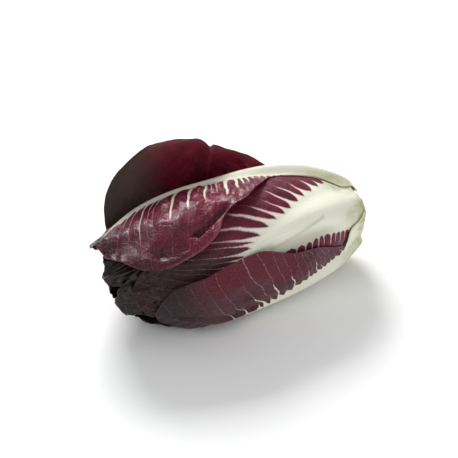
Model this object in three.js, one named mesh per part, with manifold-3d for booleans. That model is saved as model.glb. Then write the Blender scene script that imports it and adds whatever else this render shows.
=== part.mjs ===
// A head of early Treviso radicchio lying on its side, in millimetres with +Z up.
// The head lies along X, with its cut stem at +X and its leaf tips at -X.
// Ten broad leaves grow from a short stem, five outside and five inside, round a tight heart.
// A leaf is a thin burgundy blade with a fleshy white rib standing proud of its outer face.
// Side veins run as low ridges from the ribs of the outer leaves out over their blades.
// One leaf at the back has come away from the head, so that its inner face shows.
import * as THREE from "three";
import { mergeVertices } from "three/addons/utils/BufferGeometryUtils.js";
import Module from "manifold-3d";

// Places in the head are given by three numbers.
// Along is the distance from the root end towards the tips.
// Angle is the turn round the head's axis in degrees: 0 faces -Y, 90 faces up, 180 faces +Y.
// Depth is how far in a surface lies from the head's outline.
const TURN_WIDE = 1.03; // the head's width over its height, because it lies on its side
const BLADE = 0.9; // thickness of a blade
const GAP = 0.35; // air between a rib and its blade
const RIB_EDGE = 0.6; // thickness of a rib at its two edges
const RIB_SEAT = 1.2; // how far a rib reaches into the room that its blade is then cut from
const SEAT_LEAD = 0.003; // how far before the blade's base that room starts, as a share of the leaf's length
const SEAT_SIDE = 1.03; // how far that room reaches, as a share of the blade's half width
const VEIN_STEPS = 3;
const VEIN_ROOT = 2.5; // how far inside the rib's edge a side vein starts
const VEIN_FOOT = 2.4; // half width of a side vein at its foot, under the blade's face
const FLOOR = 1.4; // height at which the head's belly is flattened by the surface that it lies on

// Radius of the head's outline at each distance along it.
const outline = curve([
  [-8, 12], [0, 14], [6, 23], [16, 30], [36, 39], [65, 45], [100, 47], [135, 44.5], [165, 37], [206, 23],
]);
// How far the head is puckered towards its tips. All leaves share it, so that they still lie in each other.
const pucker = curve([[0, 0.3], [100, 0.5], [140, 1], [170, 2], [206, 3]]);
// Height of the head's axis: it sags on its belly, with the root end a little lower.
const axisHeight = curve([[0, 39], [60, 43], [110, 43], [200, 40]]);

// Half width and height of an outer leaf's rib.
const RIB_WIDTH = [
  [0, 6], [8, 10], [20, 14], [40, 15], [60, 12.5], [80, 10], [100, 8], [120, 6], [140, 3.8], [160, 1.6], [180, 0.6],
];
const RIB_HEIGHT = [
  [0, 2.2], [8, 3.8], [20, 6], [60, 4.4], [100, 2.9], [140, 1.9], [180, 1.1], [200, 0.9],
];

// Smooth curve through points given as [x, y], level beyond both ends.
function curve(points) {
  const last = points.length - 1;
  const slopes = points.map((point, i) => {
    const before = points[Math.max(i - 1, 0)];
    const after = points[Math.min(i + 1, last)];
    return (after[1] - before[1]) / (after[0] - before[0]);
  });
  return (x) => {
    if (x <= points[0][0]) return points[0][1];
    if (x >= points[last][0]) return points[last][1];
    const i = points.findIndex((point) => point[0] > x) - 1;
    const span = points[i + 1][0] - points[i][0];
    const s = (x - points[i][0]) / span;
    return (
      (1 + 2 * s) * (1 - s) ** 2 * points[i][1] +
      s * (1 - s) ** 2 * span * slopes[i] +
      s * s * (3 - 2 * s) * points[i + 1][1] +
      s * s * (s - 1) * span * slopes[i + 1]
    );
  };
}

// Point of the head at a distance along it, an angle and a radius, never under the given height.
function headPoint(along, angle, radius, lowest) {
  const turn = THREE.MathUtils.degToRad(angle);
  const folds = 0.6 * Math.sin(5 * turn + 0.05 * along) + 0.4 * Math.sin(8 * turn - 0.07 * along);
  const reach = radius + pucker(along) * folds;
  const y = -TURN_WIDE * reach * Math.cos(turn);
  const z = axisHeight(along) + reach * Math.sin(turn);
  return new THREE.Vector3(-along, y, Math.max(z, lowest));
}

// Place on a leaf: across runs from -1 to 1 between its margins, and row from 0 at its base to 1 at its tip.
function leafPlace(leaf, across, row) {
  const nominal = leaf.start + (leaf.length - leaf.start) * row;
  const inset = 1 - Math.sqrt(Math.max(0, 1 - across * across));
  const slanted = (Math.abs(leaf.slant) * (1 + Math.sign(leaf.slant) * across)) / 2;
  const along = leaf.start + (nominal - leaf.start) * (1 - leaf.round * inset - slanted);
  const reach = (across < 0 ? leaf.low : leaf.high)(nominal);
  const edge = Math.abs(across) ** 1.6;
  const flare = leaf.flare(nominal) + (across < 0 ? leaf.flareLow : leaf.flareHigh)(nominal) * edge;
  const wave = leaf.wave * Math.abs(across) ** 3 * row * Math.sin(leaf.waves * 2 * Math.PI * row + leaf.phase);
  return {
    along,
    angle: leaf.angle(nominal) + reach * across,
    radius: outline(along) - leaf.depth(nominal) + leaf.ramp * across + flare + wave,
    lowest: leaf.lowest - leaf.ramp * across,
  };
}

// Closed shell between an outer and an inner sheet of the same rows and columns, split alike on both.
function shell(outer, inner, rows, columns) {
  const sheet = (rows + 1) * (columns + 1);
  const positions = [...outer, ...inner].flatMap((p) => [p.x, p.y, p.z]);
  const index = [];
  const at = (i, j) => i * (columns + 1) + j;
  const quad = (a, b, c, d) => index.push(a, b, c, a, c, d);
  for (let i = 0; i < rows; i++) {
    for (let j = 0; j < columns; j++) {
      const [a, b, c, d] = [at(i, j), at(i, j + 1), at(i + 1, j + 1), at(i + 1, j)];
      quad(a, b, c, d);
      index.push(sheet + a, sheet + c, sheet + b, sheet + a, sheet + d, sheet + c);
    }
  }
  for (let j = 0; j < columns; j++) {
    quad(sheet + at(0, j), sheet + at(0, j + 1), at(0, j + 1), at(0, j));
    quad(at(rows, j), at(rows, j + 1), sheet + at(rows, j + 1), sheet + at(rows, j));
  }
  for (let i = 0; i < rows; i++) {
    quad(at(i, 0), at(i + 1, 0), sheet + at(i + 1, 0), sheet + at(i, 0));
    quad(sheet + at(i, columns), sheet + at(i + 1, columns), at(i + 1, columns), at(i, columns));
  }
  return indexed(positions, index);
}

function indexed(positions, index) {
  const geometry = new THREE.BufferGeometry();
  geometry.setAttribute("position", new THREE.Float32BufferAttribute(positions, 3));
  geometry.setIndex(index);
  return geometry;
}

const wasm = await Module();
wasm.setup();

// A closed geometry as a solid.
function toSolid(geometry) {
  const merged = mergeVertices(geometry, 1e-3);
  const vertProperties = merged.getAttribute("position").array;
  return new wasm.Manifold(
    new wasm.Mesh({ numProp: 3, vertProperties, triVerts: new Uint32Array(merged.index.array) }),
  );
}

// The outer skin of the largest body, so that a hollow that joining sealed is filled.
function toGeometry(solid) {
  const largest = solid.decompose().reduce((a, b) => (a.volume() > b.volume() ? a : b));
  const { vertProperties, triVerts } = largest.getMesh();
  return indexed(vertProperties, Array.from(triVerts));
}

// Shell along a leaf's blade, from a height over the blade's outer face down to a height under it.
// With a lead it also starts that much before the blade's base, and reaches a little past its margins.
function bladeGeometry(leaf, rows, columns, over = 0, under = leaf.thickness, lead = 0) {
  const outer = [];
  const inner = [];
  const steps = Array.from({ length: rows + 1 }, (_, i) => leaf.bladeFrom + (1 - leaf.bladeFrom) * (i / rows));
  const sides = Array.from({ length: columns + 1 }, (_, j) => Math.sin(Math.PI * (j / columns - 0.5)));
  if (lead > 0) {
    steps.unshift(leaf.bladeFrom - lead);
    sides.unshift(-SEAT_SIDE);
    sides.push(SEAT_SIDE);
  }
  for (const row of steps) {
    for (const across of sides) {
      const { along, angle, radius, lowest } = leafPlace(leaf, across, row);
      outer.push(headPoint(along, angle, radius + over, lowest - over));
      inner.push(headPoint(along, angle, radius - under, lowest + under));
    }
  }
  return shell(outer, inner, steps.length - 1, sides.length - 1);
}

// Ridge of a side vein, three-sided, from inside the rib out over the blade, getting lower and thinner.
// Vein is [from, run]: where its line meets the leaf's middle, and how far it runs past the rib.
function veinSolid(leaf, side, [from, run]) {
  const positions = [];
  const index = [];
  const lean = (side < 0 ? leaf.leanLow : leaf.leanHigh)(from);
  const reachOf = side < 0 ? leaf.low : leaf.high;
  for (let k = 0; k <= VEIN_STEPS; k++) {
    const arc = leaf.ribWidth(from) + (run + VEIN_ROOT) * (k / VEIN_STEPS) - VEIN_ROOT;
    const along = from + lean * arc;
    const offset = THREE.MathUtils.radToDeg(arc / (outline(along) - leaf.depth(along)));
    const inset = 1 - Math.sqrt(Math.max(0, 1 - (offset / reachOf(along)) ** 2));
    const nominal = leaf.start + (along - leaf.start) / (1 - leaf.round * inset);
    const thin = 1 - 0.55 * (k / VEIN_STEPS);
    const foot = VEIN_FOOT * thin;
    for (const [shift, rise] of [[-foot, -RIB_SEAT], [foot, -RIB_SEAT], [0, GAP + leaf.veinHeight * thin]]) {
      const row = (nominal + shift - leaf.start) / (leaf.length - leaf.start);
      const { angle, along: there, radius } = leafPlace(leaf, (side * offset) / reachOf(nominal), row);
      positions.push(...headPoint(there, angle, radius + rise, leaf.ribLowest));
    }
  }
  const turn = (a, b, c) => (side < 0 ? index.push(a, b, c) : index.push(a, c, b));
  for (let k = 0; k < VEIN_STEPS; k++) {
    for (let i = 0; i < 3; i++) {
      const [a, b] = [3 * k + i, 3 * k + ((i + 1) % 3)];
      turn(a, b + 3, b);
      turn(a, a + 3, b + 3);
    }
  }
  const end = 3 * VEIN_STEPS;
  turn(0, 1, 2);
  turn(end, end + 2, end + 1);
  return toSolid(indexed(positions, index));
}

// The fleshy rib of a leaf, with its side veins: rounded on its outer side, and cut on its inner side to sit
// on the blade.
function ribGeometry(leaf, bladeRows, bladeColumns, rows, columns) {
  const outer = [];
  const inner = [];
  for (let i = 0; i <= rows; i++) {
    const row = leaf.ribTo * (i / rows);
    const middle = leafPlace(leaf, 0, row);
    const halfAngle = THREE.MathUtils.radToDeg(leaf.ribWidth(middle.along) / middle.radius);
    for (let j = 0; j <= columns; j++) {
      const side = Math.sin(Math.PI * (j / columns - 0.5));
      const reach = (side < 0 ? leaf.low : leaf.high)(middle.along);
      const { along, angle, radius } = leafPlace(leaf, (side * halfAngle) / reach, row);
      const crown = RIB_EDGE + (leaf.ribHeight(middle.along) - RIB_EDGE) * (1 - side * side) ** 0.6;
      outer.push(headPoint(along, angle, radius + GAP + crown, leaf.ribLowest));
      inner.push(headPoint(along, angle, radius - RIB_SEAT, leaf.ribLowest + RIB_EDGE));
    }
  }
  const seat = bladeGeometry(leaf, bladeRows, bladeColumns, GAP, 3 * RIB_SEAT, SEAT_LEAD);
  let solid = toSolid(shell(outer, inner, rows, columns));
  for (const vein of leaf.veinsLow) solid = solid.add(veinSolid(leaf, -1, vein));
  for (const vein of leaf.veinsHigh) solid = solid.add(veinSolid(leaf, 1, vein));
  return toGeometry(solid.subtract(toSolid(seat)));
}

const level = () => 0;

// A leaf from the few numbers that make it differ from the others.
function leaf(given) {
  const made = {
    start: 2, bladeFrom: 0.1, ribTo: 0.93, round: 0.15, slant: 0, ramp: 0, thickness: BLADE,
    veinsLow: [], veinsHigh: [], veinHeight: 1, leanLow: [[0, 0.4], [200, 0.7]], leanHigh: [[0, 0.4], [200, 0.7]],
    lowest: FLOOR, ribLowest: FLOOR,
    flare: level, flareLow: level, flareHigh: level, wave: 0, waves: 3, phase: 0,
    ribWidth: RIB_WIDTH, ribHeight: RIB_HEIGHT, ...given,
  };
  const curves = ["angle", "depth", "low", "high", "flare", "flareLow", "flareHigh", "ribHeight", "ribWidth"];
  for (const key of [...curves, "leanLow", "leanHigh"]) {
    if (Array.isArray(made[key])) made[key] = curve(made[key]);
  }
  return made;
}

// Depth of the leaves that lie over their neighbours, of those that lie under them, and of the inner ring.
const OVER = [[0, 2.6], [8, 4.2], [20, 6.3], [60, 4.7], [100, 3.2], [140, 2.4], [200, 2]];
const UNDER = [[0, 2.6], [8, 4.4], [20, 7.6], [60, 6.8], [100, 6], [140, 5.6], [200, 5]];
const INSIDE = [[0, 11.9], [20, 11.9], [60, 11.2], [100, 10.8], [160, 9.6], [205, 8]];
// A rib that a neighbour lies over is flatter.
const UNDER_RIB = [
  [0, 2.2], [8, 4], [20, 6.6], [45, 5.4], [65, 3.2], [80, 1.6], [120, 1.2], [200, 0.9],
];
const INSIDE_RIB = [[14, 1.2], [30, 2.2], [60, 2.2], [100, 1.6], [200, 0.9]];

// Low and high are the leaf's reach in degrees from its rib to its two margins, along its length.
const outerLeaves = [
  leaf({
    name: "top_leaf", length: 201.5, depth: OVER, tone: "burgundy_leaf",
    angle: [[0, 122], [90, 124], [130, 131], [155, 134], [175, 131], [203, 123]],
    ribWidth: [
      [0, 6.5], [8, 11], [20, 15], [40, 16], [60, 13], [80, 11], [100, 9], [120, 6.5], [140, 4.4], [165, 2.2],
      [188, 0.6],
    ],
    low: [
      [0, 30], [40, 30], [72, 31], [100, 42], [120, 54], [132, 60.5], [141, 67.5], [148, 77], [155, 82.5],
      [164, 86], [183, 86], [193, 84], [203, 78],
    ],
    high: [[0, 28], [40, 29], [72, 40], [100, 53], [140, 57], [170, 60], [203, 60]],
    flare: [[0, 0], [100, 0], [130, 2.6], [150, 4.2], [175, 5.2], [203, 6]],
    flareHigh: [[0, 0], [140, 0], [170, 2], [203, 3]],
    leanLow: [[0, 0.25], [70, 0.25], [100, 0.42], [130, 0.56], [160, 0.62], [185, 1]],
    leanHigh: [[0, 0.3], [100, 0.45], [160, 0.7]],
    veinsLow: [[71, 8], [80, 10], [88, 15], [97, 19], [116, 25], [127, 28], [143, 30], [161, 22]],
    veinsHigh: [[104, 14], [120, 20], [138, 20], [156, 16]],
  }),
  leaf({
    name: "middle_leaf", start: 9, length: 194, depth: UNDER, ribHeight: UNDER_RIB, tone: "burgundy_leaf",
    ribWidth: [[0, 8], [8, 13], [20, 17.5], [40, 17.5], [60, 14], [85, 8.5], [106, 4.5], [140, 2.2], [180, 0.6]],
    angle: [[0, 41], [60, 42], [86, 38], [111, 31], [135, 21], [165, 10], [200, 4]],
    low: [[0, 34], [20, 40], [40, 47], [70, 56], [100, 60], [140, 59], [175, 55], [194, 44]],
    high: [[0, 34], [20, 42], [40, 50], [70, 60], [100, 66], [140, 70], [175, 62], [194, 50]],
    slant: -0.08, veinHeight: 0.45,
    leanLow: [[0, 0.1], [70, 0.2], [120, 0.8]],
    leanHigh: [[30, 0.45], [50, 0.75], [70, 1], [95, 1.9], [120, 2.1], [150, 1.6]],
    veinsLow: [[50, 8], [57, 8]],
    veinsHigh: [[47, 10], [55, 12], [63, 14], [70, 16], [76, 18], [84, 18], [93, 18], [101, 16]],
  }),
  leaf({
    name: "front_leaf", start: 8, length: 177, angle: [[0, -42], [120, -44], [150, -26], [177, -8]], depth: OVER,
    tone: "mauve_leaf",
    low: [[0, 26], [40, 33], [60, 38], [90, 46], [120, 46], [146, 52], [165, 38], [177, 30]],
    high: [[0, 28], [40, 41], [63, 55], [90, 63], [122, 74], [146, 58], [165, 40], [177, 30]],
    flare: [[0, 0], [100, 0.5], [140, 3.4], [160, 3.6], [177, 2]],
    leanHigh: [[30, 0.35], [75, 0.36], [85, 0.5], [92, 0.8], [99, 0.45], [108, 0.8], [140, 0.9]],
    veinHeight: 0.8,
    veinsHigh: [[50, 18], [57, 16], [70, 26], [82, 26], [92, 34], [108, 26], [120, 24]],
  }),
  leaf({
    name: "back_leaf", length: 187, angle: [[0, 190], [178, 184]], depth: OVER, round: 0.24, tone: "dark_leaf",
    slant: 0.16, wave: 0.8, waves: 2.5, phase: 2,
    low: [[0, 26], [40, 28], [60, 34], [80, 44], [100, 54], [120, 62], [150, 67], [178, 62]],
    high: [[0, 24], [20, 25], [60, 38], [120, 46], [150, 46], [178, 36]],
    flare: [[0, 0], [40, 1], [100, 5], [178, 12]],
    flareLow: [[0, 0], [40, 0], [60, 3.5], [80, 8.5], [110, 13], [140, 20.5], [165, 26.5], [187, 29]],
    leanLow: [[0, 0.6], [200, 0.8]], leanHigh: [[0, 0.5], [200, 0.8]],
    veinsLow: [[62, 12], [76, 18], [90, 22], [106, 24]],
    veinsHigh: [[62, 12], [76, 16], [90, 18], [106, 18]],
  }),
  leaf({
    name: "under_leaf", length: 181, angle: [[0, 253], [178, 253]], depth: UNDER, tone: "dark_leaf",
    lowest: FLOOR + 2.4, ribWidth: RIB_WIDTH.map(([along, width]) => [along, 0.88 * width]),
    low: [[0, 28], [40, 35], [70, 50], [100, 58], [140, 58], [178, 46]],
    high: [[0, 28], [40, 35], [70, 50], [100, 58], [140, 58], [178, 46]],
    flareHigh: [[0, 0], [152, 0], [168, 1.5], [181, 4.5]],
  }),
];

// The inner leaves follow one rule: each lies a fifth of a turn on, with one margin over the next leaf.
const INNER_FIRST = 80;
const INNER_STEP = 72;
const INNER_REACH = [[0, 20], [40, 45], [80, 56], [140, 58], [175, 54], [205, 44]];
const innerLeaves = [200, 198, 188, 190, 197].map((length, i) =>
  leaf({
    name: "inner_leaf_" + (i + 1), length, start: 14, ramp: 1.7, round: 0.12, tone: "dark_leaf",
    lowest: FLOOR + 6.2, ribLowest: FLOOR + 3.8,
    angle: () => INNER_FIRST - INNER_STEP * i, depth: INSIDE, low: INNER_REACH, high: INNER_REACH,
    ribHeight: INSIDE_RIB, ribWidth: [[0, 6], [60, 6], [120, 3.6], [185, 0.7]],
  }),
);

// Barrel of rings round the head's axis, closed by a flat end at each side. A ring is [along, radius].
function barrelGeometry(rings, sides) {
  const positions = [];
  const index = [];
  for (const [along, radius] of rings) {
    for (let k = 0; k < sides; k++) positions.push(...headPoint(along, (360 * k) / sides, radius, FLOOR));
  }
  const lastRing = (rings.length - 1) * sides;
  const firstEnd = rings.length * sides;
  for (const end of [0, rings.length - 1]) positions.push(...headPoint(rings[end][0], 0, 0, FLOOR));
  for (let k = 0; k < sides; k++) {
    const next = (k + 1) % sides;
    for (let i = 0; i < rings.length - 1; i++) {
      const [a, b] = [i * sides + k, i * sides + next];
      index.push(a, b, b + sides, a, b + sides, a + sides);
    }
    index.push(firstEnd, next, k, firstEnd + 1, lastRing + k, lastRing + next);
  }
  return indexed(positions, index);
}

// The short stem: it is cut off just past the leaf bases, and it widens inside the head.
const stemRings = [[0, 9.8], [1.5, 11.2], [3.5, 12], [8, 14], [14, 14.5], [30, 18], [40, 19], [44, 14]];

// The heart: a small core, with closed inner leaves standing out of it.
const HEART_DEPTH = 14.5;
const HEART_FROM = 48;
const HEART_TO = 172;
const HEART_LEAVES = 5;
const HEART_FIRST = 116;

function heartGeometry() {
  const rings = [0, 0.1, 0.3, 0.55, 0.8, 0.93, 1].map((share) => {
    const along = HEART_FROM + (HEART_TO - HEART_FROM) * share;
    const fullness = Math.sqrt(Math.sin(Math.PI * (0.12 + 0.84 * share)));
    return [along, (outline(along) - HEART_DEPTH - 2.5) * fullness];
  });
  let solid = toSolid(barrelGeometry(rings, 14));
  for (let k = 0; k < HEART_LEAVES; k++) {
    const angle = HEART_FIRST + (360 / HEART_LEAVES) * k;
    const one = leaf({
      start: HEART_FROM + 2, bladeFrom: 0.05, length: 176 + 4 * (k % 3), round: 0.25, ramp: 1, thickness: 4,
      angle: [[0, angle], [200, angle + 8]], depth: () => HEART_DEPTH + 1,
      low: [[0, 30], [60, 44], [190, 34]], high: [[0, 30], [60, 44], [190, 34]],
    });
    solid = solid.add(toSolid(bladeGeometry(one, 7, 6)));
  }
  return toGeometry(solid);
}

const finish = (color, roughness) => new THREE.MeshStandardMaterial({ color, roughness, metalness: 0 });
const materials = {
  burgundy_leaf: finish(0x6a1a38, 0.35),
  mauve_leaf: finish(0x5d2a3d, 0.5),
  dark_leaf: finish(0x42121f, 0.45),
  white_rib: finish(0xeef0de, 0.45),
};

const head = new THREE.Group();

function add(name, geometry, material) {
  const mesh = new THREE.Mesh(geometry, material);
  mesh.name = name;
  head.add(mesh);
}

for (const one of outerLeaves) {
  add(one.name + "_blade", bladeGeometry(one, 18, 14), materials[one.tone]);
  add(one.name + "_rib", ribGeometry(one, 18, 14, 14, 4), materials.white_rib);
}
for (const one of innerLeaves) {
  add(one.name + "_blade", bladeGeometry(one, 10, 10), materials[one.tone]);
  add(one.name + "_rib", ribGeometry(one, 10, 10, 8, 4), materials.white_rib);
}
add("heart", heartGeometry(), materials.dark_leaf);
add("stem", barrelGeometry(stemRings, 20), materials.white_rib);

// The origin is under the middle of the head, on the surface that it lies on.
const bounds = new THREE.Box3().setFromObject(head);
const middle = bounds.getCenter(new THREE.Vector3());
head.position.set(-middle.x, -middle.y, -bounds.min.z);

const radicchio = new THREE.Group();
radicchio.name = "radicchio_head";
radicchio.add(head);

export default radicchio;
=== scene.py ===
# A head of early Treviso radicchio lying on its side, on a pale studio floor.
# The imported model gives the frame. Each leaf is made again here as one fine skin, rib and blade together,
# over nearly the same form as its solids, with its side veins, blisters and folds.
import math

import bmesh
import bpy
import numpy as np
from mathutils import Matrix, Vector


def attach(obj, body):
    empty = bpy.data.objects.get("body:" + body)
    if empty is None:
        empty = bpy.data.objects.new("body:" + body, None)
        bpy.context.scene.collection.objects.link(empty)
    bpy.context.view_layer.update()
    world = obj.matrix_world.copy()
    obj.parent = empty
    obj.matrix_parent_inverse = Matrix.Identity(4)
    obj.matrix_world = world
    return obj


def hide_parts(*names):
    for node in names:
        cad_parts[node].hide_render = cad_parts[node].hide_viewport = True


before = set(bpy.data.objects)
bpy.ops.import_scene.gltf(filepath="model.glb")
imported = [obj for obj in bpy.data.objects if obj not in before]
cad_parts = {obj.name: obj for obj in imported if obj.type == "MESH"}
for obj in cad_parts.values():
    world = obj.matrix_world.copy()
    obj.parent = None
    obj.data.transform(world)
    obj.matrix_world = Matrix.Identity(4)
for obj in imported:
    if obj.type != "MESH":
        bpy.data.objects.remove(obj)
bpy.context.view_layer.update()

MM = 0.001
# The leaves are shaped in the head's own places, in mm, and then set down where the solids are.
HEAD_SHIFT = (100.75, -3.724, -1.4)
TURN_WIDE = 1.03  # the head's width over its height
BLADE = 0.9  # thickness of a leaf blade
GAP = 0.35  # height of a rib's foot over the blade
RIB_EDGE = 0.6  # thickness of a rib at its edge
RIB_SEAT = 1.2  # thickness of a leaf at its root end, where it is all rib
FLOOR = 1.4  # height at which the belly is pressed flat, before the head is set down
BLADE_FROM = 0.1  # share of a leaf's length where the blade starts beside the rib
HEAD_RADIUS = 42  # the head's usual radius, which turns an angle into mm round it
HALVINGS = 26  # steps that find a vein's root to well under a thousandth of a mm


# Form of the head

def curve(points):
    """Smooth curve through [x, y] points, level beyond both ends."""
    xs = np.array([p[0] for p in points], float)
    ys = np.array([p[1] for p in points], float)
    last = len(points) - 1
    before = np.maximum(np.arange(last + 1) - 1, 0)
    after = np.minimum(np.arange(last + 1) + 1, last)
    slopes = (ys[after] - ys[before]) / (xs[after] - xs[before])

    def at(x):
        x = np.clip(np.asarray(x, float), xs[0], xs[-1])
        i = np.clip(np.searchsorted(xs, x, side="right") - 1, 0, last - 1)
        span = xs[i + 1] - xs[i]
        s = (x - xs[i]) / span
        return ((1 + 2 * s) * (1 - s) ** 2 * ys[i] + s * (1 - s) ** 2 * span * slopes[i]
                + s * s * (3 - 2 * s) * ys[i + 1] + s * s * (s - 1) * span * slopes[i + 1])

    return at


outline = curve([[-8, 12], [0, 14], [6, 23], [16, 30], [36, 39], [65, 45], [100, 47], [135, 44.5], [165, 37],
                 [206, 23]])
pucker = curve([[0, 0.3], [100, 0.5], [140, 1], [170, 2], [206, 3]])
axis_height = curve([[0, 39], [60, 43], [110, 43], [200, 40]])


def smooth(low, high, x):
    """Ease from 0 below low to 1 above high."""
    s = np.clip((x - low) / (high - low), 0, 1)
    return s * s * (3 - 2 * s)


def patchy(x, y, size, seed):
    """Soft irregular pattern from -1 to 1 with features about as long as size."""
    rng = np.random.default_rng(seed)
    total = np.zeros(np.broadcast(x, y).shape)
    for _ in range(7):
        turn = rng.uniform(0, math.tau)
        pitch = rng.uniform(0.7, 1.5) * math.tau / size
        total = total + np.sin(pitch * (x * math.cos(turn) + y * math.sin(turn)) + rng.uniform(0, math.tau))
    return np.clip(total / 3.2, -1, 1)


def head_point(along, angle, radius, lowest):
    turn = np.radians(angle)
    folds = 0.6 * np.sin(5 * turn + 0.05 * along) + 0.4 * np.sin(8 * turn - 0.07 * along)
    reach = radius + pucker(along) * folds
    y = -TURN_WIDE * reach * np.cos(turn)
    z = np.maximum(axis_height(along) + reach * np.sin(turn), lowest)
    return np.stack([-along + HEAD_SHIFT[0], y + HEAD_SHIFT[1], z + HEAD_SHIFT[2]], axis=-1) * MM


# Depth of the leaves under the outline, as in the solids.
OVER = [[0, 2.6], [8, 4.2], [20, 6.3], [60, 4.7], [100, 3.2], [140, 2.4], [200, 2]]
UNDER = [[0, 2.6], [8, 4.4], [20, 7.6], [60, 6.8], [100, 6], [140, 5.6], [200, 5]]
INSIDE = [[0, 11.9], [20, 11.9], [60, 11.2], [100, 10.8], [160, 9.6], [205, 8]]
RIB_WIDTH = [[0, 6], [8, 10], [20, 14], [40, 15], [60, 12.5], [80, 10], [100, 8], [120, 6], [140, 3.8],
             [160, 1.6], [180, 0.6]]
RIB_HEIGHT = [[0, 2.2], [8, 3.8], [20, 6], [60, 4.4], [100, 2.9], [140, 1.9], [180, 1.1], [200, 0.9]]
UNDER_RIB = [[0, 2.2], [8, 4], [20, 6.6], [45, 5.4], [65, 3.2], [80, 1.6], [120, 1.2], [200, 0.9]]
INSIDE_RIB = [[14, 1.2], [30, 2.2], [60, 2.2], [100, 1.6], [200, 0.9]]

NONE = [[0, 0], [1, 0]]
CURVES = ("angle", "depth", "low", "high", "flare", "flare_low", "flare_high", "rib_width", "rib_height",
          "white", "white_low", "lean_low", "lean_high", "bend_low", "bend_high", "clasp_high")


def leaf(**given):
    """A leaf from the few numbers that make it differ from the others."""
    made = dict(start=2, length=180, round=0.15, slant=0.0, ramp=0.0, lowest=FLOOR, rib_lowest=FLOOR,
                flare=NONE, flare_low=NONE, flare_high=NONE, wave=0.0, waves=3, phase=0.0,
                rib_width=RIB_WIDTH, rib_height=RIB_HEIGHT,
                white=[[0, 16], [40, 14], [70, 6], [90, 1.5], [105, -1], [200, -1]],
                lean_low=[[0, 0.4], [200, 0.7]], lean_high=[[0, 0.4], [200, 0.7]],
                bend_low=[[90, 0], [140, 3], [190, 5]], bend_high=[[90, 0], [140, 3], [190, 5]],
                veins_low=None, veins_high=None, finger=1.5, finger_low=None, blister=0.5, vein=0.5,
                wiggle=0.6, fade=(120, 80),
                extra=None, zone=None, faint=None, thick=BLADE, rib_foot=0.6, clasp_high=NONE,
                rests_on=None, rests_where=None)
    made.update(given)
    made.setdefault("white_low", made["white"])
    for key in CURVES:
        made[key] = curve(made[key])
    return made


def leaf_place(one, across, row):
    nominal = one["start"] + (one["length"] - one["start"]) * row
    inset = 1 - np.sqrt(np.clip(1 - across ** 2, 0, 1))
    # A slanted tip is cut back on the high side if slant is above 0, and on the low side if it is below.
    short = one["round"] * inset + abs(one["slant"]) * (1 + np.sign(one["slant"]) * across) / 2
    along = one["start"] + (nominal - one["start"]) * (1 - short)
    reach = np.where(across < 0, one["low"](nominal), one["high"](nominal))
    edge = np.abs(across) ** 1.6
    side_flare = np.where(across < 0, one["flare_low"](nominal), one["flare_high"](nominal))
    flare = one["flare"](nominal) + side_flare * edge
    wave = one["wave"] * np.abs(across) ** 3 * row * np.sin(one["waves"] * math.tau * row + one["phase"])
    radius = outline(along) - one["depth"](nominal) + one["ramp"] * across + flare + wave
    return along, nominal, reach, radius


# Side veins are listed as [where they leave the rib, strength, how far they run], with places in mm from the
# root end and lengths in mm.
TOP_VEINS = [[46, 0.5, 8], [52, 0.5, 8], [58, 0.6, 8], [63, 0.6, 8], [68, 0.7, 9], [72.5, 0.7, 10],
             [77, 0.8, 12], [81, 0.8, 16], [84.5, 0.9, 18], [88.5, 1.1, 24], [95, 1.2, 30], [101, 0.5, 22],
             [104.5, 0.4, 20], [108, 1.0, 32], [118.5, 1.2, 36], [130, 1.2, 38], [145, 0.5, 30],
             [149, 0.45, 28], [155, 1.1, 34], [164, 0.5, 26], [172, 0.4, 22], [180, 0.4, 16]]
FAN_VEINS = [[33, 0.8, 16], [41, 0.8, 18], [47, 0.9, 24], [55, 1.0, 26], [63, 0.5, 20], [70, 0.9, 24],
             [76, 1.2, 34], [84, 1.2, 34], [93, 1.2, 34], [99, 0.7, 34], [110, 1.2, 36], [117, 0.5, 28],
             [125, 0.9, 26], [133, 0.7, 24], [146, 0.6, 20], [160, 0.5, 20]]
FAN_VEINS_LOW = [[15, 0.5, 8], [19.5, 0.4, 8], [23.5, 0.6, 9], [28.5, 0.5, 9], [33, 0.6, 10], [38, 0.5, 9],
                 [42, 0.8, 11], [47.5, 0.5, 10], [52, 0.7, 12], [57.5, 0.6, 11], [63, 0.7, 13], [70, 0.6, 14],
                 [80, 0.8, 16], [92, 0.8, 16], [110, 0.7, 16]]
FRONT_VEINS = [[33, 0.15, 3], [38, 0.4, 6], [42, 0.2, 4], [46, 0.5, 9], [50, 0.8, 20], [54, 0.2, 4],
               [57, 0.7, 17], [63, 0.3, 6], [70, 0.9, 24], [76, 0.3, 7], [82, 0.9, 26], [87, 0.3, 8],
               [92, 1.3, 52], [99, 0.3, 8], [108, 0.9, 22], [120, 0.9, 26], [134, 0.4, 12], [150, 0.3, 9]]


def even_veins(first, last, step, strength, run, seed):
    """Veins at a leaf's usual spacing, each a little off its place."""
    rng = np.random.default_rng(seed)
    places = np.arange(first, last, step)
    off_place, thinned, shortened = (-0.22, 0.22), (0.5, 1.2), (0.6, 1.2)
    return [[place + rng.uniform(*off_place) * step, strength * rng.uniform(*thinned),
             run * rng.uniform(*shortened)] for place in places]


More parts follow.
